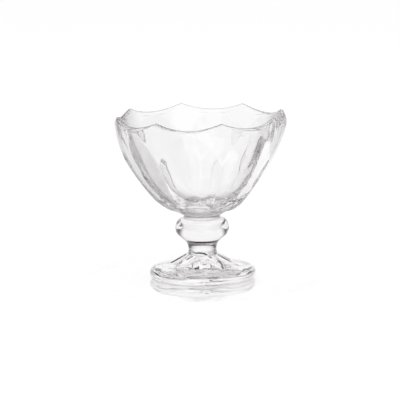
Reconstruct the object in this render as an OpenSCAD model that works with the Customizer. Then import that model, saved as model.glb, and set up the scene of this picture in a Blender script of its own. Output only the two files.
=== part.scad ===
// Footed dessert glass of clear pressed glass: a panelled bowl with a scalloped rim,
// a thin collar, a ball knop, a waisted neck and a fluted foot, fused end to end.
// The upright axis is Z and the table is at z = 0.

/* [Bowl] */
// Outer radius of the bowl at the points of its rim
rim_r = 52.5; // [49:0.5:58]
// Height of the bowl from its underside to the points of its rim
bowl_h = 62.4; // [58:0.1:70]
// Panels round the bowl, with a point of the rim between each two
panel_count = 8; // [6:1:12]
// How far the rim dips between two points
dip_depth = 4.3; // [2:0.1:6]
// Radius of the bowl's side, seen in profile
side_curve_r = 69; // [62:1:90]
// Radius at which the side turns under
turn_r = 21.8; // [19:0.1:24]
// Height of that turn above the underside
turn_rise = 4.2; // [3:0.1:5]
// Radius of the flat underside that is fused to the collar
bowl_seat_r = 12.1; // [11.7:0.1:12.6]
// How far below the dips of the rim the panels start
panel_top_drop = 2.7; // [1:0.1:6]
// How far above the turn the panels end
panel_end_rise = 0.6; // [0.3:0.1:3]
// Depth of a panel below the round side, at mid-height
panel_depth = 3.6; // [2:0.1:4.4]
// Thickness of the wall behind a panel
wall_t = 2.8; // [2.2:0.1:4]
// Thickness of the lip at the points of the rim
lip_t = 3; // [2.2:0.1:4]
// Thickness of the floor over the underside
floor_t = 4.4; // [3.6:0.1:9]

/* [Collar] */
// Height of the collar
collar_h = 2; // [1.2:0.1:3]
// Depth of the collar's waist, as a share of its height
collar_waist_share = 0.35; // [0.15:0.05:0.45]

/* [Knop] */
// Greatest radius of the knop
knop_r = 16.5; // [15.6:0.1:19]
// Height of the knop
knop_h = 14.9; // [13:0.1:18]
// Radius of the knop's upper face, fused to the collar
knop_top_r = 11.6; // [10.8:0.1:12]
// Place of the widest level, as a share of the knop's height
knop_belly_share = 0.58; // [0.54:0.01:0.62]

/* [Neck] */
// Radius of the neck at its waist
neck_waist_r = 8.6; // [7.8:0.1:8.9]
// Radius of the neck's upper end, fused to the knop
neck_top_r = 10.1; // [9.6:0.1:10.6]
// Radius of the neck's lower end, fused to the foot
neck_end_r = 9.1; // [9:0.1:9.6]
// Radius of the neck's hollow, seen in profile
neck_curve_r = 8.6; // [7:0.1:12]

/* [Foot] */
// Radius of the foot
foot_r = 32.4; // [29:0.1:38]
// Height of the foot up to the neck
foot_h = 14.6; // [13.5:0.1:18]
// Radius of the foot's round edge
foot_edge_r = 3.3; // [2.6:0.1:3.8]
// Slope of the foot's upper face, in degrees
foot_slope = 8; // [5:0.5:11]
// Ribs that run from the neck down to the foot
rib_count = 8; // [6:1:12]
// Radius of the ribs at the neck
rib_top_r = 10.2; // [9.9:0.1:11]
// Radius at which the ribs run out on the foot
rib_reach_r = 22; // [19:0.5:25]
// Half the angle that a rib's crest takes up round the axis, in degrees
rib_crest_angle = 1.5; // [0.5:0.5:4]
// Height of the point that the flutes run to, above the point that the ribs run to
flute_peak_rise = 1.5; // [0.8:0.1:3]
// Radius of the hollow under the foot
hollow_r = 24; // [18:0.5:25]
// Rise of that hollow at the axis
hollow_rise = 1.8; // [1:0.1:3]

/* [Hidden] */
$fn = 144;
glass = [0.90, 0.92, 0.93, 0.55];
// Overrun of every cut past the solid that it cuts
cut_over = 6;

// Heights at which the pieces are fused, from the table up
neck_rise = sqrt((2 * neck_curve_r - (neck_top_r - neck_waist_r)) * (neck_top_r - neck_waist_r));
neck_fall = sqrt((2 * neck_curve_r - (neck_end_r - neck_waist_r)) * (neck_end_r - neck_waist_r));
neck_h = neck_rise + neck_fall;
neck_z = foot_h;
neck_c = [neck_waist_r + neck_curve_r, neck_z + neck_fall];
knop_z = neck_z + neck_h;
collar_z = knop_z + knop_h;
bowl_z = collar_z + collar_h;
top_z = bowl_z + bowl_h;

// Centre of an arc of radius r from p to q that bulges to the right of the way from p to q
function arc_centre(p, q, r) =
    let (half = norm(q - p) / 2, way = (q - p) / norm(q - p))
    (p + q) / 2 + sqrt(r * r - half * half) * [-way[1], way[0]];
// Rise of such an arc over its chord, and the radius that gives a rise
function arc_rise(p, q, r) = r - sqrt(r * r - pow(norm(q - p) / 2, 2));
function rise_radius(p, q, rise) = (pow(norm(q - p) / 2, 2) + rise * rise) / (2 * rise);
function unit(v) = v / norm(v);

// Bowl in profile, as [radius, height]: the round side, its turn and its conical underside
turn_at = [turn_r, bowl_z + turn_rise];
rim_at = [rim_r, top_z];
seat_at = [bowl_seat_r, bowl_z];
side_c = arc_centre(turn_at, rim_at, side_curve_r);
function side_at(z) = [side_c[0] + sqrt(pow(side_curve_r, 2) - pow(z - side_c[1], 2)), z];

// Panels: one flatter arc, cut straight across, from under the dip to just above the turn
panel_top_at = side_at(top_z - dip_depth - panel_top_drop);
panel_end_at = side_at(turn_at[1] + panel_end_rise);
panel_rise = arc_rise(panel_end_at, panel_top_at, side_curve_r) - panel_depth;
panel_curve_r = rise_radius(panel_end_at, panel_top_at, panel_rise);
panel_c = arc_centre(panel_end_at, panel_top_at, panel_curve_r);

// Inside of the bowl: an arc that starts under the lip and runs behind the panels, and a round floor
// that meets it smoothly below
lip_curve_r = side_curve_r - lip_t;
inner_top_at = side_c + lip_curve_r * unit(rim_at - side_c);
inner_end_at = side_c + lip_curve_r * unit(panel_end_at - side_c);
inner_rise = arc_rise(inner_end_at, inner_top_at, lip_curve_r) - (panel_depth + wall_t - lip_t);
inner_curve_r = rise_radius(inner_end_at, inner_top_at, inner_rise);
inner_c = arc_centre(inner_end_at, inner_top_at, inner_curve_r);
floor_z = bowl_z + floor_t;
floor_drop = inner_c[1] - floor_z;
floor_curve_r = (pow(inner_curve_r, 2) - pow(inner_c[0], 2) - pow(floor_drop, 2))
    / (2 * (inner_curve_r - floor_drop));
floor_c = [0, floor_z + floor_curve_r];
floor_meet = inner_c + inner_curve_r * unit(floor_c - inner_c);

// Dips of the rim: arcs from point to point, cut along the radius
dip_half_w = rim_r * sin(180 / panel_count);
dip_r = (pow(dip_half_w, 2) + pow(dip_depth, 2)) / (2 * dip_depth);
dip_axis_z = top_z - dip_depth + dip_r;

// Groove round the collar, from the edge of the knop's upper face to the edge of the bowl's underside
collar_low_at = [knop_top_r, collar_z];
collar_groove_r = rise_radius(collar_low_at, seat_at, collar_waist_share * collar_h);
collar_groove_c = arc_centre(seat_at, collar_low_at, collar_groove_r);

// Knop in profile: the round belly and the cone that closes it down to the neck
knop_belly_z = knop_z + knop_belly_share * knop_h;
knop_cap_h = collar_z - knop_belly_z;
knop_round_r = (pow(knop_r - knop_top_r, 2) + pow(knop_cap_h, 2)) / (2 * (knop_r - knop_top_r));
knop_c = [knop_r - knop_round_r, knop_belly_z];
knop_seat_at = [neck_top_r, knop_z];
knop_tail = knop_seat_at - knop_c;
knop_tail_angle = atan2(knop_tail[1], knop_tail[0]) + acos(knop_round_r / norm(knop_tail));
knop_tail_at = knop_c + knop_round_r * [cos(knop_tail_angle), sin(knop_tail_angle)];

// Foot in profile: the round edge, and the cone that its upper face lies on
edge_c = [foot_r - foot_edge_r, foot_edge_r];
edge_top_at = edge_c + foot_edge_r * [sin(foot_slope), cos(foot_slope)];
foot_peak_z = edge_top_at[1] + edge_top_at[0] * tan(foot_slope);
rib_end_z = foot_peak_z - rib_reach_r * tan(foot_slope);
hollow_ball_r = (pow(hollow_r, 2) + pow(hollow_rise, 2)) / (2 * hollow_rise);

// Ribs run to one peak on the axis and flutes to another above it. A flute is a cone that passes
// through the crests beside it where they run out and, halfway between them, through the neck's end.
rib_fall_angle = atan2(foot_h - rib_end_z, rib_reach_r - rib_top_r);
rib_peak_z = foot_h + rib_top_r * tan(rib_fall_angle);
rib_side_angle = 180 / rib_count - rib_crest_angle;
flute_peak_z = rib_peak_z + flute_peak_rise;
flute_fall_angle = atan2(flute_peak_z - foot_h, neck_end_r);
crest_fall_angle = atan2(flute_peak_z - rib_end_z, rib_reach_r);
flute_axis_angle = atan((cos(flute_fall_angle) - cos(rib_side_angle) * cos(crest_fall_angle))
    / (sin(crest_fall_angle) - sin(flute_fall_angle)));
flute_half_angle = flute_fall_angle - flute_axis_angle;
flute_reach = (rib_reach_r + cut_over) / cos(flute_fall_angle) * cos(flute_half_angle);

// Strip of the profile plane from the axis outwards, between two heights
module band(low, high) {
    translate([0, low])
        square([rim_r + cut_over, high - low]);
}

// Round outside of the bowl, before its panels are cut
module bowl_outline() {
    intersection() {
        translate(side_c) circle(side_curve_r);
        band(turn_at[1], top_z);
    }
    polygon([[0, bowl_z], seat_at, turn_at, [0, turn_at[1]]]);
}

// Inside of the bowl, open at the top
module bowl_inside() {
    intersection() {
        translate(inner_c) circle(inner_curve_r);
        band(floor_meet[1], top_z + cut_over);
    }
    intersection() {
        translate(floor_c) circle(floor_curve_r);
        band(bowl_z, floor_meet[1]);
    }
}

// What one panel takes away: all that lies outside its arc, straight across
module panel_cut() {
    rotate([90, 0, 0])
        linear_extrude(2 * rim_r, center = true)
            difference() {
                translate([0, bowl_z - cut_over])
                    square([rim_r + cut_over, bowl_h + 2 * cut_over]);
                translate(panel_c) circle(panel_curve_r);
            }
}

// What one dip takes away from the rim
module dip_cut() {
    translate([rim_r / 2, 0, dip_axis_z])
        rotate([0, 90, 0])
            cylinder(h = rim_r / 2 + cut_over, r = dip_r);
}

// Bowl: a round body with flat-cut panels, a smooth inside and a scalloped rim
module bowl() {
    color(glass)
        difference() {
            rotate_extrude() bowl_outline();
            rotate_extrude() bowl_inside();
            for (i = [0 : panel_count - 1])
                rotate(i * 360 / panel_count) {
                    panel_cut();
                    dip_cut();
                }
        }
}

// Collar: a thin waisted disc between the bowl and the knop
module collar() {
    color(glass)
        rotate_extrude()
            difference() {
                translate([0, collar_z]) square([collar_groove_c[0], collar_h]);
                translate(collar_groove_c) circle(collar_groove_r);
            }
}

// Knop: a flattened ball that closes in a cone towards the neck
module knop() {
    color(glass)
        rotate_extrude() {
            intersection() {
                translate(knop_c) circle(knop_round_r);
                translate([knop_c[0], knop_tail_at[1]])
                    square([knop_r, collar_z - knop_tail_at[1]]);
            }
            polygon([
                [0, knop_z], knop_seat_at, knop_tail_at, [knop_c[0], knop_tail_at[1]],
                [knop_c[0], collar_z], [0, collar_z]
            ]);
        }
}

// Neck: a short waisted stem
module neck() {
    color(glass)
        rotate_extrude()
            difference() {
                translate([0, neck_z]) square([neck_c[0], neck_h]);
                translate(neck_c) circle(neck_curve_r);
            }
}

// Round foot with its soft edge
module foot_disc() {
    rotate_extrude() {
        translate(edge_c) circle(foot_edge_r);
        polygon([[0, 0], [edge_c[0], 0], edge_top_at, [0, foot_peak_z]]);
    }
}

// One flute of the skirt, opening outwards from the peak
module flute_cut() {
    translate([0, 0, flute_peak_z])
        rotate([0, 90 + flute_axis_angle, 0])
            cylinder(h = flute_reach, r1 = 0, r2 = flute_reach * tan(flute_half_angle));
}

// Ribbed skirt that spreads from the neck on to the foot
module skirt() {
    skirt_low_z = rib_end_z - hollow_rise;
    difference() {
        translate([0, 0, skirt_low_z])
            cylinder(
                h = foot_h - skirt_low_z,
                r1 = (rib_peak_z - skirt_low_z) / tan(rib_fall_angle),
                r2 = rib_top_r
            );
        for (i = [0 : rib_count - 1])
            rotate((i + 1 / 2) * 360 / rib_count)
                flute_cut();
    }
}

// Foot: the round disc and the ribbed skirt, hollowed underneath
module foot() {
    color(glass)
        difference() {
            union() {
                foot_disc();
                skirt();
            }
            translate([0, 0, hollow_rise - hollow_ball_r]) sphere(hollow_ball_r);
        }
}

bowl();
collar();
knop();
neck();
foot();
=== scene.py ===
"""Footed dessert glass of clear pressed glass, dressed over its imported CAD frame.

Five pieces are fused end to end on the upright axis: a panelled bowl with a scalloped rim, a thin collar,
a ball knop, a waisted neck and a fluted foot. Each is a closed mesh of rings about the axis. The flat faces
on which two pieces are fused carry a skin of their own that light passes straight through, so that the
glass looks like one body. Sizes of the glass are in millimetres, and heights are measured from the table.
"""

import logging
import math
from dataclasses import dataclass, field
from enum import Enum

import bpy
import numpy as np
from mathutils import Matrix, Vector


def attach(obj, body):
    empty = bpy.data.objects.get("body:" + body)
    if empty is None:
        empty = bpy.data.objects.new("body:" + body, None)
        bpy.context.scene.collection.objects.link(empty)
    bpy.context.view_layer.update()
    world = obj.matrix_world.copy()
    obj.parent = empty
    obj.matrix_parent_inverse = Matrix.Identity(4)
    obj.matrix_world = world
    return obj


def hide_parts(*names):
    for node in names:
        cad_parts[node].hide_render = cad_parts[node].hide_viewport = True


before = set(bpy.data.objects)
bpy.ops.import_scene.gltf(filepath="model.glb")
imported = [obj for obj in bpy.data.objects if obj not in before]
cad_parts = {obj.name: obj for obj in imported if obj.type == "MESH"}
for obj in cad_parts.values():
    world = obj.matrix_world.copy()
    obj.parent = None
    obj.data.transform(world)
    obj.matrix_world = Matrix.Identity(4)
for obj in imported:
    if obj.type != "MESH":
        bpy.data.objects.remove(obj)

LOG = logging.getLogger("dessert_glass")
MM = 0.001
IMAGE_SIDE = 400

Point = tuple[float, float]
Place = tuple[float, float, float]
Tone = tuple[float, float, float, float]
Socket = bpy.types.NodeSocket


class Skin(Enum):
    """What a face of the glass is: its polished outside, or a fused joint inside it."""

    POLISHED = 0
    FUSED = 1


class Bow(Enum):
    """Side of the way from one point to the next on which an arc's centre lies."""

    LEFT = 1.0
    RIGHT = -1.0


def soft_min(a: np.ndarray, b: np.ndarray, width: float) -> np.ndarray:
    """Take the lesser of two heights or radii, with a corner of a given width between them rounded."""
    near = np.clip(0.5 + 0.5 * (b - a) / width, 0.0, 1.0)
    return b + (a - b) * near - width * near * (1.0 - near)


def soft_max(a: np.ndarray, b: np.ndarray, width: float) -> np.ndarray:
    """Take the greater of two heights or radii, with the corner between them rounded in the same way."""
    return -soft_min(-a, -b, width)


def turned(columns: int) -> np.ndarray:
    """Angles of evenly spaced columns about the axis, in radians."""
    return np.arange(columns) * 2 * math.pi / columns


@dataclass(frozen=True)
class Arc:
    """Circular arc in the profile plane, whose points are (radius, height) pairs."""

    centre: Point
    radius: float

    @classmethod
    def through(cls, start: Point, end: Point, radius: float, bow: Bow = Bow.LEFT) -> "Arc":
        """Lay an arc of a given radius through two points.

        Args:
            start: First point.
            end: Second point.
            radius: Radius of the arc.
            bow: Side of the way from start to end on which the centre lies.

        Returns:
            The arc.
        """
        a, b = np.array(start), np.array(end)
        half = float(np.linalg.norm(b - a)) / 2
        way = (b - a) / (2 * half)
        centre = (a + b) / 2 + bow.value * math.sqrt(radius**2 - half**2) * np.array([-way[1], way[0]])
        return cls((float(centre[0]), float(centre[1])), radius)

    def flatter(self, start: Point, end: Point, less: float) -> "Arc":
        """Lay an arc through two points of this one, with less rise over the chord between them.

        Args:
            start: First point.
            end: Second point.
            less: How much lower the new arc is, halfway along.

        Returns:
            The flatter arc.
        """
        half = math.dist(start, end) / 2
        rise = self.radius - math.sqrt(self.radius**2 - half**2) - less
        return Arc.through(start, end, (half**2 + rise**2) / (2 * rise))

    def radius_at(self, height: np.ndarray | float) -> np.ndarray:
        """Distance of the arc's outer half from the axis, at a height."""
        rise = np.asarray(height) - self.centre[1]
        return self.centre[0] + np.sqrt(np.maximum(self.radius**2 - rise**2, 0.0))

    def angle_of(self, point: Point) -> float:
        """Angle at which a point lies, seen from the centre, in radians."""
        return math.atan2(point[1] - self.centre[1], point[0] - self.centre[0])

    def at(self, angle: float) -> Point:
        """Point of the arc at an angle in radians."""
        return self.centre[0] + self.radius * math.cos(angle), self.centre[1] + self.radius * math.sin(angle)

    def beside(self, point: Point) -> Point:
        """Point of the arc on the line from its centre through another point."""
        return self.at(self.angle_of(point))

    def sweep(self, start: float, end: float, count: int) -> list[Point]:
        """Points along the arc between two angles in radians, both ends included."""
        return [self.at(angle) for angle in np.linspace(start, end, count)]


@dataclass
class Rings:
    """Closed mesh made of rings about the axis, from one point of the axis to another."""

    name: str
    columns: int
    rings: list[np.ndarray] = field(default_factory=list)

    def add(self, radius: np.ndarray | float, angle: np.ndarray, height: np.ndarray | float) -> None:
        """Add one ring after the last, with the angles of its vertices in radians."""
        level = height * np.ones(self.columns)
        self.rings.append(np.stack([radius * np.cos(angle), radius * np.sin(angle), level], axis=1) * MM)

    def piece(self, first: float, last: float, ends: tuple[Skin, Skin]) -> bpy.types.Object:
        """Close the rings at the axis and make the mesh.

        Args:
            first: Height of the closing point before the first ring.
            last: Height of the closing point after the last ring.
            ends: Skins of the two closing fans.

        Returns:
            The new object, linked to the scene.
        """
        count, rows = self.columns, len(self.rings) - 1
        points = np.concatenate([*self.rings, [[0, 0, first * MM], [0, 0, last * MM]]])
        low, high, top = len(points) - 2, len(points) - 1, rows * count
        around = [(i, (i + 1) % count) for i in range(count)]
        faces: list[tuple[int, ...]] = [(low, b, a) for a, b in around]
        for below in range(0, top, count):
            above = below + count
            faces += [(below + a, below + b, above + b, above + a) for a, b in around]
        faces += [(high, top + a, top + b) for a, b in around]
        marks = [ends[0].value] * count + [Skin.POLISHED.value] * top + [ends[1].value] * count
        mesh = bpy.data.meshes.new(self.name)
        mesh.from_pydata(points.tolist(), [], faces)
        mesh.polygons.foreach_set("material_index", marks)
        mesh.polygons.foreach_set("use_smooth", [True] * len(faces))
        mesh.update()
        made = bpy.data.objects.new(self.name, mesh)
        bpy.context.scene.collection.objects.link(made)
        return made


@dataclass(frozen=True)
class Wires:
    """Adds small nodes to one node tree and joins them up."""

    tree: bpy.types.NodeTree

    def feed(self, value: Socket | Tone | float, target: Socket) -> None:
        """Lead a value into an input.

        Args:
            value: Output of another node, or a plain value.
            target: Input that takes it.
        """
        if isinstance(value, Socket):
            self.tree.links.new(value, target)
        else:
            target.default_value = value

    def blend(self, share: Socket, first: Socket | Tone, second: Socket | Tone) -> Socket:
        """Blend two colours.

        Args:
            share: Share of the second colour.
            first: First colour.
            second: Second colour.

        Returns:
            The blended colour.
        """
        made = self.tree.nodes.new("ShaderNodeMixRGB")
        for value, name in ((share, "Fac"), (first, "Color1"), (second, "Color2")):
            self.feed(value, made.inputs[name])
        return made.outputs["Color"]

    def join(self, operation: str, first: Socket, second: Socket | float) -> Socket:
        """Join two values.

        Args:
            operation: Name of the operation.
            first: First value.
            second: Second value.

        Returns:
            The result.
        """
        made = self.tree.nodes.new("ShaderNodeMath")
        made.operation = operation
        self.feed(first, made.inputs[0])
        self.feed(second, made.inputs[1])
        return made.outputs["Value"]

    def reckon(self, operation: str, first: Socket, second: Place | None = None) -> bpy.types.Node:
        """Work on a direction or a place.

        Args:
            operation: Name of the operation.
            first: First vector.
            second: Second vector, where the operation takes one.

        Returns:
            The node, with the outputs Vector and Value.
        """
        made = self.tree.nodes.new("ShaderNodeVectorMath")
        made.operation = operation
        self.feed(first, made.inputs[0])
        if second is not None:
            self.feed(second, made.inputs[1])
        return made

    def step(self, value: Socket, off: float, on: float) -> Socket:
        """Make a mask that goes smoothly from zero to one.

        Args:
            value: Value that the mask follows.
            off: Value at which the mask is zero.
            on: Value at which the mask is one.

        Returns:
            The mask.
        """
        made = self.tree.nodes.new("ShaderNodeMapRange")
        made.interpolation_type = "SMOOTHSTEP"
        made.inputs["From Min"].default_value = min(off, on)
        made.inputs["From Max"].default_value = max(off, on)
        made.inputs["To Min"].default_value = float(off > on)
        made.inputs["To Max"].default_value = float(on > off)
        self.feed(value, made.inputs["Value"])
        return made.outputs["Result"]


@dataclass(frozen=True)
class Ripple:
    """Shader group that puts the faint waviness of pressed glass into a height."""

    name: str = "pressed_ripple"
    stretch: Place = (1.0, 1.0, 0.35)
    detail: float = 1.0
    roughness: float = 0.4

    def group(self) -> bpy.types.NodeTree:
        """Build the shader group once, or return it if it is there.

        Returns:
            Group with the input Scale and the output Height.
        """
        if self.name in bpy.data.node_groups:
            return bpy.data.node_groups[self.name]
        tree = bpy.data.node_groups.new(self.name, "ShaderNodeTree")
        tree.interface.new_socket("Scale", in_out="INPUT", socket_type="NodeSocketFloat")
        tree.interface.new_socket("Height", in_out="OUTPUT", socket_type="NodeSocketFloat")
        inside = tree.nodes.new("NodeGroupInput")
        outside = tree.nodes.new("NodeGroupOutput")
        place = tree.nodes.new("ShaderNodeTexCoord")
        flow = tree.nodes.new("ShaderNodeMapping")
        flow.inputs["Scale"].default_value = self.stretch
        wave = tree.nodes.new("ShaderNodeTexNoise")
        wave.inputs["Detail"].default_value = self.detail
        wave.inputs["Roughness"].default_value = self.roughness
        tree.links.new(place.outputs["Object"], flow.inputs["Vector"])
        tree.links.new(flow.outputs["Vector"], wave.inputs["Vector"])
        tree.links.new(inside.outputs["Scale"], wave.inputs["Scale"])
        tree.links.new(wave.outputs["Fac"], outside.inputs["Height"])
        return tree


@dataclass(frozen=True)
class ClearGlass:
    """Clear pressed glass, fire-polished, with painted shade: its colour darkens towards a shade tone where
    the surface is seen aslant, and some pieces are given a darker tint.
    """

    name: str = "clear_glass"
    tint_and_shade: Tone = (0.986, 0.979, 0.98, 1.0)
    painted_edge_shade: Tone = (0.986, 0.979, 0.98, 1.0)
    edge_shade_from: float = 0.25
    edge_shade_to: float = 0.8
    refraction: float = 1.5
    ripple_scale: float = 90.0
    ripple_depth: float = 0.0009
    shadow_tone: Tone = (0.98, 0.98, 0.98, 1.0)

    def material(self) -> bpy.types.Material:
        """Build the material.

        Returns:
            Glass that refracts the room and lets the lamp's light pass to what is behind it.
        """
        made = bpy.data.materials.new(self.name)
        made.use_nodes = True
        nodes, links = made.node_tree.nodes, made.node_tree.links
        nodes.clear()
        wires = Wires(made.node_tree)
        slant = nodes.new("ShaderNodeLayerWeight")
        # Painted shade: this mask rises where the surface is seen aslant and blends the glass's colour
        # towards the darker edge shade.
        edge = wires.step(slant.outputs["Facing"], self.edge_shade_from, self.edge_shade_to)
        glass = nodes.new("ShaderNodeBsdfPrincipled")
        # Colour and painted shade: the tint is the glass's faint mauve, set darker on some pieces than on
        # others of the same glass.
        links.new(wires.blend(edge, self.tint_and_shade, self.painted_edge_shade), glass.inputs["Base Color"])
        glass.inputs["Roughness"].default_value = 0.0
        glass.inputs["IOR"].default_value = self.refraction
        glass.inputs["Transmission Weight"].default_value = 1.0
        ripple = nodes.new("ShaderNodeGroup")
        ripple.node_tree = Ripple().group()
        ripple.inputs["Scale"].default_value = self.ripple_scale
        bump = nodes.new("ShaderNodeBump")
        bump.inputs["Strength"].default_value = 1.0
        bump.inputs["Distance"].default_value = self.ripple_depth
        links.new(ripple.outputs["Height"], bump.inputs["Height"])
        links.new(bump.outputs["Normal"], glass.inputs["Normal"])
        passing = nodes.new("ShaderNodeBsdfTransparent")
        passing.inputs["Color"].default_value = self.shadow_tone
        path = nodes.new("ShaderNodeLightPath")
        mix = nodes.new("ShaderNodeMixShader")
        out = nodes.new("ShaderNodeOutputMaterial")
        links.new(path.outputs["Is Shadow Ray"], mix.inputs["Fac"])
        links.new(glass.outputs["BSDF"], mix.inputs[1])
        links.new(passing.outputs["BSDF"], mix.inputs[2])
        links.new(mix.outputs["Shader"], out.inputs["Surface"])
        return made


@dataclass(frozen=True)
class FusedJoint:
    """Face on which two pieces are fused: no surface is left there to see."""

    name: str = "fused_joint"

    def material(self) -> bpy.types.Material:
        """Build the material once, or return it if it is there.

        Returns:
            Skin that light passes straight through.
        """
        if self.name in bpy.data.materials:
            return bpy.data.materials[self.name]
        made = bpy.data.materials.new(self.name)
        made.use_nodes = True
        nodes, links = made.node_tree.nodes, made.node_tree.links
        nodes.clear()
        passing = nodes.new("ShaderNodeBsdfTransparent")
        out = nodes.new("ShaderNodeOutputMaterial")
        links.new(passing.outputs["BSDF"], out.inputs["Surface"])
        return made


@dataclass
class GlassPiece:
    """One fused piece of the glass: the name of its CAD node, and its finish."""

    node: str = ""
    finish: ClearGlass = ClearGlass()

    def build(self) -> bpy.types.Object:
        """Make the mesh; each piece has its own."""
        raise NotImplementedError

    def dress(self, piece: bpy.types.Object) -> None:
        """Give the piece its materials, in the order of Skin, and set it in the place of its CAD node.

        Args:
            piece: Object that build made.
        """
        for skin in (self.finish, FusedJoint()):
            piece.data.materials.append(skin.material())
        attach(piece, "root")
        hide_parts(self.node)


@dataclass
class Foot(GlassPiece):
    """Round foot with a soft edge, a ribbed skirt and a hollow underside."""

    node: str = "foot"
    finish: ClearGlass = ClearGlass("foot_finish", ripple_depth=0.0003)
    radius: float = 32.4
    height: float = 14.6
    edge_radius: float = 3.3
    slope: float = 8.0
    ribs: int = 8
    rib_top_radius: float = 10.2
    rib_reach: float = 22.0
    crest_angle: float = 1.5
    flute_peak_rise: float = 1.5
    hollow_radius: float = 24.0
    hollow_rise: float = 1.8
    seat_radius: float = 9.1
    softness: float = 0.35
    middle_radius: float = 1.0
    columns: int = 384
    hollow_rows: int = 18
    edge_rows: int = 22
    skirt_rows: int = 64

    @property
    def edge(self) -> Arc:
        """Round outer edge."""
        return Arc((self.radius - self.edge_radius, self.edge_radius), self.edge_radius)

    @property
    def edge_end(self) -> float:
        """Angle at which the round edge runs into the upper face, in radians."""
        return math.pi / 2 - math.radians(self.slope)

    def disc_height(self, radius: np.ndarray) -> np.ndarray:
        """Height of the plain upper face at a radius."""
        out, up = self.edge.at(self.edge_end)
        return up + (out - radius) * math.tan(math.radians(self.slope))

    def skirt_height(self, radius: np.ndarray, angle: np.ndarray) -> np.ndarray:
        """Height of the ribs and of the flutes between them, which are cones on slanted axes.

        Args:
            radius: Distance from the axis.
            angle: Angle about the axis, in radians, with a rib at zero.

        Returns:
            Height of the skirt, which may be below the plain upper face.
        """
        rib_end = float(self.disc_height(np.array(self.rib_reach)))
        fall = math.atan2(self.height - rib_end, self.rib_reach - self.rib_top_radius)
        peak = self.height + self.rib_top_radius * math.tan(fall)
        flute_peak = peak + self.flute_peak_rise
        step = 2 * math.pi / self.ribs
        side = step / 2 - math.radians(self.crest_angle)
        flute_fall = math.atan2(flute_peak - self.height, self.seat_radius)
        crest_fall = math.atan2(flute_peak - rib_end, self.rib_reach)
        axis = math.atan(
            (math.cos(flute_fall) - math.cos(side) * math.cos(crest_fall))
            / (math.sin(crest_fall) - math.sin(flute_fall))
        )
        half = flute_fall - axis
        off = np.mod(angle, step) - step / 2
        a, b = np.cos(off) * math.cos(axis), math.sin(axis)
        reach = np.sqrt(a**2 + b**2)
        dive = np.arctan2(b, a) + np.arccos(np.clip(math.cos(half) / reach, -1.0, 1.0))
        flute = flute_peak - radius * np.tan(dive)
        rib = peak - radius * math.tan(fall)
        return soft_min(rib, flute, self.softness)

    def build(self) -> bpy.types.Object:
        """Make the foot from the middle of its underside, round the edge and up to the neck.

        Returns:
            The foot.
        """
        turn = turned(self.columns)
        made = Rings("foot_glass", self.columns)
        ball = (self.hollow_radius**2 + self.hollow_rise**2) / (2 * self.hollow_rise)
        for r in np.linspace(self.middle_radius, self.hollow_radius, self.hollow_rows):
            made.add(r, turn, self.hollow_rise - ball + math.sqrt(ball**2 - r**2))
        made.add((self.hollow_radius + self.edge.centre[0]) / 2, turn, 0.0)
        for r, z in self.edge.sweep(-math.pi / 2, self.edge_end, self.edge_rows):
            made.add(r, turn, z)
        for r in np.linspace(self.edge.at(self.edge_end)[0], self.seat_radius, self.skirt_rows)[1:]:
            skirt = np.minimum(self.skirt_height(np.array(r), turn), self.height)
            top = soft_max(self.disc_height(np.array(r)), skirt, self.softness)
            made.add(r, turn, np.minimum(top, self.height))
        made.add(self.seat_radius, turn, self.height)
        return made.piece(self.hollow_rise, self.height, (Skin.POLISHED, Skin.FUSED))


@dataclass
class Neck(GlassPiece):
    """Short waisted stem between the foot and the knop."""

    node: str = "neck"
    # Painted shade: this piece's glass is tinted darker all over, and much darker where its surface is seen
    # aslant.
    finish: ClearGlass = ClearGlass(
        "neck_finish",
        tint_and_shade=(0.93, 0.923, 0.924, 1.0),
        painted_edge_shade=(0.15, 0.14, 0.143, 1.0),
        edge_shade_from=0.1,
        edge_shade_to=0.5,
    )
    base: float = 0.0
    waist_radius: float = 8.6
    top_radius: float = 10.1
    end_radius: float = 9.1
    curve_radius: float = 8.6
    columns: int = 256
    rows: int = 28

    def fall(self, radius: float) -> float:
        """Height between the waist and the level at which the neck has a radius."""
        out = radius - self.waist_radius
        return math.sqrt((2 * self.curve_radius - out) * out)

    @property
    def height(self) -> float:
        """Height of the neck."""
        return self.fall(self.end_radius) + self.fall(self.top_radius)

    def build(self) -> bpy.types.Object:
        """Make the neck from its lower joint to its upper one.

        Returns:
            The neck.
        """
        turn = turned(self.columns)
        made = Rings("neck_glass", self.columns)
        low, high = (self.end_radius, self.base), (self.top_radius, self.base + self.height)
        centre = (self.waist_radius + self.curve_radius, self.base + self.fall(self.end_radius))
        hollow = Arc(centre, self.curve_radius)
        first, last = (hollow.angle_of(end) % (2 * math.pi) for end in (low, high))
        for r, z in hollow.sweep(first, last, self.rows):
            made.add(r, turn, z)
        return made.piece(self.base, self.base + self.height, (Skin.FUSED, Skin.FUSED))


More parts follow.
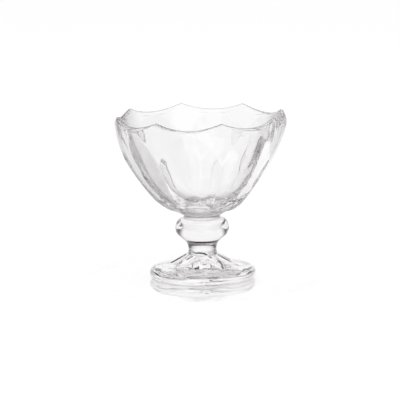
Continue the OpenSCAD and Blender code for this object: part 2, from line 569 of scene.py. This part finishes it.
@dataclass
class Knop(GlassPiece):
    """Flattened ball that closes in a cone towards the neck."""

    node: str = "knop"
    # Painted shade: this piece's glass is tinted darker all over, and much darker where its surface is seen
    # aslant.
    finish: ClearGlass = ClearGlass(
        "knop_finish",
        tint_and_shade=(0.94, 0.933, 0.934, 1.0),
        painted_edge_shade=(0.45, 0.418, 0.43, 1.0),
        edge_shade_from=0.5,
        edge_shade_to=0.95,
    )
    base: float = 0.0
    radius: float = 16.5
    height: float = 14.9
    top_radius: float = 11.6
    seat_radius: float = 10.1
    belly_share: float = 0.58
    columns: int = 256
    cone_rows: int = 6
    ball_rows: int = 48

    def build(self) -> bpy.types.Object:
        """Make the knop from its lower joint, round the belly and in to its upper joint.

        Returns:
            The knop.
        """
        turn = turned(self.columns)
        made = Rings("knop_glass", self.columns)
        belly = self.base + self.belly_share * self.height
        top = self.base + self.height
        out = self.radius - self.top_radius
        round_radius = (out**2 + (top - belly) ** 2) / (2 * out)
        ball = Arc((self.radius - round_radius, belly), round_radius)
        seat = (self.seat_radius, self.base)
        tail = ball.angle_of(seat) + math.acos(round_radius / math.dist(seat, ball.centre))
        meet = ball.at(tail)
        for share in np.linspace(0.0, 1.0, self.cone_rows)[:-1]:
            made.add(seat[0] + (meet[0] - seat[0]) * share, turn, seat[1] + (meet[1] - seat[1]) * share)
        for r, z in ball.sweep(tail, ball.angle_of((self.top_radius, top)), self.ball_rows):
            made.add(r, turn, z)
        return made.piece(self.base, top, (Skin.FUSED, Skin.FUSED))


@dataclass
class Collar(GlassPiece):
    """Thin waisted disc between the knop and the bowl."""

    node: str = "collar"
    # Painted shade: this piece's glass is tinted darker all over, and much darker where its surface is seen
    # aslant.
    finish: ClearGlass = ClearGlass(
        "collar_finish",
        tint_and_shade=(0.8, 0.793, 0.794, 1.0),
        painted_edge_shade=(0.3, 0.279, 0.287, 1.0),
        edge_shade_from=0.0,
        edge_shade_to=0.6,
    )
    base: float = 0.0
    low_radius: float = 11.6
    top_radius: float = 12.1
    height: float = 2.0
    waist_share: float = 0.35
    columns: int = 256
    rows: int = 15

    def build(self) -> bpy.types.Object:
        """Make the collar from its lower joint to its upper one.

        Returns:
            The collar.
        """
        turn = turned(self.columns)
        made = Rings("collar_glass", self.columns)
        low, high = (self.low_radius, self.base), (self.top_radius, self.base + self.height)
        half, deep = math.dist(low, high) / 2, self.waist_share * self.height
        groove = Arc.through(low, high, (half**2 + deep**2) / (2 * deep), Bow.RIGHT)
        first, last = (groove.angle_of(end) % (2 * math.pi) for end in (low, high))
        for r, z in groove.sweep(first, last, self.rows):
            made.add(r, turn, z)
        return made.piece(self.base, self.base + self.height, (Skin.FUSED, Skin.FUSED))


@dataclass
class Bowl(GlassPiece):
    """Round bowl with flat-cut panels outside, a smooth inside and a scalloped, rounded rim."""

    node: str = "bowl"
    # Painted shade: this piece's glass is tinted darker all over, and much darker where its surface is seen
    # aslant.
    finish: ClearGlass = ClearGlass(
        "bowl_finish",
        tint_and_shade=(0.967, 0.963, 0.964, 1.0),
        painted_edge_shade=(0.3, 0.28, 0.29, 1.0),
        edge_shade_from=0.3,
        edge_shade_to=0.8,
    )
    base: float = 0.0
    rim_radius: float = 52.5
    height: float = 62.4
    panels: int = 8
    dip_depth: float = 4.3
    side_curve: float = 69.0
    turn_radius: float = 21.8
    turn_rise: float = 4.2
    seat_radius: float = 12.1
    panel_top_drop: float = 2.7
    panel_end_rise: float = 0.6
    panel_depth: float = 3.6
    wall: float = 2.8
    lip: float = 3.0
    floor: float = 4.4
    ridge_softness: float = 0.12
    point_softness: float = 0.4
    least_panel_angle: float = 0.8
    least_round_angle: float = 0.5
    middle_angle: float = 0.02
    panel_columns: int = 12
    round_columns: int = 6
    turn_rows: int = 14
    under_panel_rows: int = 5
    panel_rows: int = 96
    shoulder_rows: int = 11
    lip_rows: int = 15
    under_lip_rows: int = 9
    inside_rows: int = 36
    bottom_rows: int = 40
    top: float = field(init=False)
    turn_at: Point = field(init=False)
    panel_top: float = field(init=False)
    panel_end: float = field(init=False)
    side: Arc = field(init=False)
    panel: Arc = field(init=False)
    inside: Arc = field(init=False)
    bottom: Arc = field(init=False)
    meet: Point = field(init=False)

    def __post_init__(self) -> None:
        """Lay the arcs of the profile: the side, the panels, the inside and its bottom."""
        self.top = self.base + self.height
        self.turn_at = (self.turn_radius, self.base + self.turn_rise)
        self.panel_top = self.top - self.dip_depth - self.panel_top_drop
        self.panel_end = self.turn_at[1] + self.panel_end_rise
        rim_at = (self.rim_radius, self.top)
        self.side = Arc.through(self.turn_at, rim_at, self.side_curve)
        low = (float(self.side.radius_at(self.panel_end)), self.panel_end)
        high = (float(self.side.radius_at(self.panel_top)), self.panel_top)
        self.panel = self.side.flatter(low, high, self.panel_depth)
        under_lip = Arc(self.side.centre, self.side_curve - self.lip)
        less = self.panel_depth + self.wall - self.lip
        self.inside = under_lip.flatter(under_lip.beside(low), under_lip.beside(rim_at), less)
        floor_height = self.base + self.floor
        below = self.inside.centre[1] - floor_height
        floor_radius = (self.inside.radius**2 - self.inside.centre[0] ** 2 - below**2) / (
            2 * (self.inside.radius - below)
        )
        self.bottom = Arc((0.0, floor_height + floor_radius), floor_radius)
        self.meet = self.inside.beside(self.bottom.centre)

    @property
    def step(self) -> float:
        """Angle from one panel to the next, in radians."""
        return 2 * math.pi / self.panels

    def off_middle(self, angle: np.ndarray) -> np.ndarray:
        """Angles between columns and the middles of their panels, in radians."""
        return np.abs(np.mod(angle + self.step / 2, self.step) - self.step / 2)

    def columns_at(self, panel_angle: float) -> np.ndarray:
        """Angles of the columns in a row, gathered on the edges of the panels.

        Args:
            panel_angle: Half the angle that a panel takes up in this row, in radians.

        Returns:
            Angles about the axis, in radians.
        """
        flat = np.linspace(-panel_angle, panel_angle, self.panel_columns + 1)
        side = np.linspace(panel_angle, self.step / 2, self.round_columns + 1)[1:]
        one = np.concatenate([-side[::-1], flat, side[:-1]])
        return np.concatenate([one + k * self.step for k in range(self.panels)])

    def panel_angle(self, height: float) -> float:
        """Half the angle that a panel takes up at a height.

        Args:
            height: Height of the row.

        Returns:
            Angle in radians, within the least angles of a panel and of the round beside it.
        """
        share = float(self.panel.radius_at(height) / self.side.radius_at(height))
        most = self.step / 2 - math.radians(self.least_round_angle)
        return min(max(math.acos(min(share, 1.0)), math.radians(self.least_panel_angle)), most)

    def outer_radius(self, height: np.ndarray, angle: np.ndarray) -> np.ndarray:
        """Distance of the outside from the axis, panels and ridges included.

        Args:
            height: Heights of the vertices.
            angle: Angles of the vertices about the axis, with a panel's middle at zero.

        Returns:
            Distances from the axis.
        """
        off = self.off_middle(angle)
        flat = self.panel.radius_at(height)
        faces = soft_min(flat / np.cos(off), flat / np.cos(self.step - off), self.ridge_softness)
        return soft_min(self.side.radius_at(height), faces, self.ridge_softness)

    def rim_height(self, radius: np.ndarray, angle: np.ndarray) -> np.ndarray:
        """Height of the scalloped rim.

        Args:
            radius: Distances from the axis.
            angle: Angles about the axis, with the middle of a dip at zero.

        Returns:
            Heights of the rim, with its points softened.
        """
        half_width = self.rim_radius * math.sin(self.step / 2)
        dip_radius = (half_width**2 + self.dip_depth**2) / (2 * self.dip_depth)
        axis = self.top - self.dip_depth + dip_radius
        off = self.off_middle(angle)
        here = axis - np.sqrt(dip_radius**2 - (radius * np.sin(off)) ** 2)
        there = axis - np.sqrt(dip_radius**2 - (radius * np.sin(self.step - off)) ** 2)
        return soft_min(here, there, self.point_softness)

    def build(self) -> bpy.types.Object:
        """Make the bowl from its joint, up the outside, over the rim and down the inside.

        Returns:
            The bowl.
        """
        even = self.panel_columns / (self.panel_columns + 2 * self.round_columns)
        resting = self.columns_at(self.step / 2 * even)
        made = Rings("bowl_glass", len(resting))
        for share in 1 - (1 - np.linspace(0.0, 1.0, self.turn_rows)) ** 2:
            r = self.seat_radius + (self.turn_at[0] - self.seat_radius) * share
            made.add(r, resting, self.base + self.turn_rise * share)
        for z in np.linspace(self.turn_at[1], self.panel_end, self.under_panel_rows)[1:-1]:
            made.add(self.side.radius_at(z), resting, z)
        for share in (1 - np.cos(np.linspace(0.0, math.pi, self.panel_rows))) / 2:
            z = self.panel_end + (self.panel_top - self.panel_end) * share
            turn = self.columns_at(self.panel_angle(z))
            made.add(self.outer_radius(np.array(z), turn), turn, z)
        shoulder = self.add_rim(made, resting)
        self.add_inside(made, resting, shoulder)
        return made.piece(self.base, self.base + self.floor, (Skin.FUSED, Skin.POLISHED))

    def add_rim(self, made: Rings, turn: np.ndarray) -> np.ndarray:
        """Carry the outside up to the rim and round it over to the inside.

        Args:
            made: Rings so far.
            turn: Angles of the columns.

        Returns:
            Heights at which the round of the rim starts and ends.
        """
        crest = self.rim_height(np.full(len(turn), self.rim_radius - self.lip / 2), turn)
        shoulder = crest - (self.side.radius_at(crest) - self.inside.radius_at(crest)) / 2
        for share in np.linspace(0.0, 1.0, self.shoulder_rows)[1:]:
            z = self.panel_top + (shoulder - self.panel_top) * share
            made.add(self.side.radius_at(z), turn, z)
        outer, inner = self.side.radius_at(shoulder), self.inside.radius_at(shoulder)
        for t in np.linspace(0.0, math.pi, self.lip_rows)[1:]:
            r = (outer + inner) / 2 + (outer - inner) / 2 * math.cos(t)
            made.add(r, turn, shoulder + (crest - shoulder) * math.sin(t))
        return shoulder

    def add_inside(self, made: Rings, turn: np.ndarray, shoulder: np.ndarray) -> None:
        """Carry the inside down from the rim to the middle of the floor.

        Args:
            made: Rings so far.
            turn: Angles of the columns.
            shoulder: Heights at which the round of the rim ends.
        """
        level = self.panel_top - self.panel_top_drop
        for share in np.linspace(0.0, 1.0, self.under_lip_rows)[1:]:
            z = shoulder + (level - shoulder) * share
            made.add(self.inside.radius_at(z), turn, z)
        for z in np.linspace(level, self.meet[1], self.inside_rows)[1:]:
            made.add(self.inside.radius_at(z), turn, z)
        last = -math.pi / 2 + self.middle_angle
        for r, z in self.bottom.sweep(self.bottom.angle_of(self.meet), last, self.bottom_rows)[1:]:
            made.add(r, turn, z)


@dataclass(frozen=True)
class Screen:
    """White screen round the glass, in degrees as seen from it.

    The screen spreads by half_width to each side of its azimuth, and its sides end softly over soft. It goes
    up to top, and down to foot where that isn't zero, and those edges end softly over fade.
    """

    azimuth: float
    half_width: float
    soft: float
    top: float
    fade: float
    foot: float = 0.0


@dataclass(frozen=True)
class Studio:
    """White floor, soft light, and the dim room with white screens that shows in the glass."""

    floor_side: float = 16.0
    floor_drop: float = 0.1
    floor_tone: Tone = (0.98, 0.98, 0.98, 1.0)
    floor_roughness: float = 0.015
    floor_shine: float = 0.9
    polished_radius: float = 64.0
    dull_radius: float = 74.0
    sky_tone: Tone = (1.0, 1.0, 1.0, 1.0)
    room_tone: Tone = (0.032, 0.013, 0.02, 1.0)
    lamp_power: float = 2.6
    lamp_size: float = 1.0
    lamp_place: Place = (-0.5, -0.7, 1.4)
    lamp_aim: Place = (0.0, 0.0, 0.05)
    turns: int = 32
    screens: tuple[Screen, ...] = (
        Screen(azimuth=10.0, half_width=30.0, soft=20.0, top=18.0, fade=5.0),
        Screen(azimuth=-5.0, half_width=48.0, soft=18.0, top=58.0, fade=7.0, foot=38.0),
        Screen(azimuth=95.0, half_width=22.0, soft=10.0, top=8.0, fade=5.0),
        Screen(azimuth=193.0, half_width=31.0, soft=13.0, top=44.0, fade=14.0),
    )

    def floor(self) -> bpy.types.Object:
        """Lay the pale floor that the glass stands on.

        Returns:
            The floor, just below the foot.
        """
        half, level = self.floor_side / 2, -self.floor_drop * MM
        mesh = bpy.data.meshes.new("floor")
        ends = [(-half, -half), (half, -half), (half, half), (-half, half)]
        mesh.from_pydata([(x, y, level) for x, y in ends], [], [(0, 1, 2, 3)])
        mesh.materials.append(self.floor_finish())
        made = bpy.data.objects.new("floor", mesh)
        bpy.context.scene.collection.objects.link(made)
        return made

    def floor_finish(self) -> bpy.types.Material:
        """Build the floor's material.

        Returns:
            Pale matt finish, polished round the foot so that it mirrors the glass there.
        """
        made = bpy.data.materials.new("pale_floor")
        made.use_nodes = True
        nodes, links = made.node_tree.nodes, made.node_tree.links
        wires = Wires(made.node_tree)
        shader = nodes["Principled BSDF"]
        shader.inputs["Base Color"].default_value = self.floor_tone
        shader.inputs["Roughness"].default_value = self.floor_roughness
        shader.inputs["Coat Roughness"].default_value = self.floor_roughness
        place = nodes.new("ShaderNodeNewGeometry")
        away = wires.reckon("LENGTH", place.outputs["Position"]).outputs["Value"]
        polish = wires.step(away, self.dull_radius * MM, self.polished_radius * MM)
        links.new(polish, shader.inputs["Coat Weight"])
        links.new(wires.join("MULTIPLY", polish, self.floor_shine), shader.inputs["Specular IOR Level"])
        return made

    def world(self) -> None:
        """Light the room evenly, and show the glass the dim room and its white screens.

        Only singular rays, which clear glass mirrors or bends, meet the dim room. The camera, the matt floor
        and the floor's polish meet plain white.
        """
        world = bpy.data.worlds.new("studio")
        bpy.context.scene.world = world
        world.use_nodes = True
        nodes, links = world.node_tree.nodes, world.node_tree.links
        nodes.clear()
        wires = Wires(world.node_tree)
        way = nodes.new("ShaderNodeTexCoord").outputs["Generated"]
        rise = nodes.new("ShaderNodeSeparateXYZ")
        links.new(way, rise.inputs["Vector"])
        level = wires.reckon("MULTIPLY", way, (1.0, 1.0, 0.0)).outputs["Vector"]
        around = wires.reckon("NORMALIZE", level).outputs["Vector"]
        masks = [self.hang(wires, screen, around, rise.outputs["Z"]) for screen in self.screens]
        white = masks[0]
        for mask in masks[1:]:
            white = wires.join("MAXIMUM", white, mask)
        room = wires.blend(white, self.room_tone, self.sky_tone)
        path = nodes.new("ShaderNodeLightPath").outputs
        seen = wires.join("MAXIMUM", path["Is Glossy Ray"], path["Is Transmission Ray"])
        seen = wires.join("MULTIPLY", seen, path["Is Singular Ray"])
        sky = nodes.new("ShaderNodeBackground")
        links.new(wires.blend(seen, self.sky_tone, room), sky.inputs["Color"])
        out = nodes.new("ShaderNodeOutputWorld")
        links.new(sky.outputs["Background"], out.inputs["Surface"])

    def hang(self, wires: Wires, screen: Screen, around: Socket, rise: Socket) -> Socket:
        """Hang one screen in the room.

        Args:
            wires: Wires of the world's node tree.
            screen: Screen to hang.
            around: Level direction of the ray.
            rise: Sine of the ray's elevation.

        Returns:
            Mask that is one on the screen.
        """
        angle = math.radians(screen.azimuth)
        ahead = (-math.sin(angle), math.cos(angle), 0.0)
        facing = wires.reckon("DOT_PRODUCT", around, ahead).outputs["Value"]
        edge, end = (math.cos(math.radians(screen.half_width + more)) for more in (0.0, screen.soft))
        low, high = (math.sin(math.radians(screen.top + more)) for more in (0.0, screen.fade))
        made = wires.join("MULTIPLY", wires.step(facing, end, edge), wires.step(rise, high, low))
        if screen.foot == 0.0:
            return made
        low, high = (math.sin(math.radians(screen.foot - less)) for less in (screen.fade, 0.0))
        return wires.join("MULTIPLY", made, wires.step(rise, low, high))

    def light_paths(self) -> None:
        """Let light turn often enough inside thick glass for its dark places to be true ones."""
        cycles = bpy.context.scene.cycles
        cycles.max_bounces = self.turns
        cycles.glossy_bounces = self.turns
        cycles.transmission_bounces = self.turns
        cycles.transparent_max_bounces = self.turns

    def lamp(self) -> None:
        """Hang one broad soft lamp above and in front of the glass."""
        light = bpy.data.lights.new("soft_box", "AREA")
        light.shape = "DISK"
        light.size = self.lamp_size
        light.energy = self.lamp_power
        made = bpy.data.objects.new("soft_box", light)
        made.location = self.lamp_place
        made.rotation_euler = (Vector(self.lamp_aim) - made.location).to_track_quat("-Z", "Y").to_euler()
        bpy.context.scene.collection.objects.link(made)


@dataclass(frozen=True)
class Viewpoint:
    """Camera at the photo's viewing angle."""

    distance: float = 1446.2
    elevation: float = 9.72
    roll: float = -0.847
    focal_pixels: float = 2366.0
    target_side: float = -1.1
    target_height: float = 47.75
    turn: float = 8.8
    sensor: float = 36.0
    nearest: float = 0.05
    farthest: float = 60.0

    def camera(self) -> bpy.types.Object:
        """Set up the camera.

        Returns:
            The scene's camera.
        """
        rise, roll = math.radians(self.elevation), math.radians(self.roll)
        ahead = Vector((0, math.cos(rise), -math.sin(rise)))
        right = Vector((1, 0, 0))
        up = right.cross(ahead)
        across = math.cos(roll) * right + math.sin(roll) * up
        over = -math.sin(roll) * right + math.cos(roll) * up
        stand = Matrix((across, over, -ahead)).transposed().to_4x4()
        aim = Vector((self.target_side, 0, self.target_height)) * MM
        stand.translation = aim - ahead * self.distance * MM
        data = bpy.data.cameras.new("camera")
        data.sensor_width = self.sensor
        data.lens = self.focal_pixels / IMAGE_SIDE * self.sensor
        data.clip_start, data.clip_end = self.nearest, self.farthest
        made = bpy.data.objects.new("camera", data)
        made.matrix_world = Matrix.Rotation(math.radians(self.turn), 4, "Z") @ stand
        bpy.context.scene.collection.objects.link(made)
        bpy.context.scene.camera = made
        return made


def stack() -> list[GlassPiece]:
    """Stand the pieces on each other, from the foot up.

    Returns:
        The pieces of the glass.
    """
    foot = Foot()
    neck = Neck(base=foot.height)
    knop = Knop(base=neck.base + neck.height)
    collar = Collar(base=knop.base + knop.height)
    bowl = Bowl(base=collar.base + collar.height)
    return [foot, neck, knop, collar, bowl]


def main() -> None:
    """Build the camera, the studio and the glass, and log each piece's face count."""
    logging.basicConfig(level=logging.INFO, format="%(name)s: %(message)s")
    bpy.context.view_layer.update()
    Viewpoint().camera()
    studio = Studio()
    studio.floor()
    studio.world()
    studio.lamp()
    studio.light_paths()
    for part in stack():
        piece = part.build()
        part.dress(piece)
        LOG.info("%s: %d faces", piece.name, len(piece.data.polygons))
    bpy.context.scene.view_settings.view_transform = "Standard"


if __name__ == "__main__":
    main()
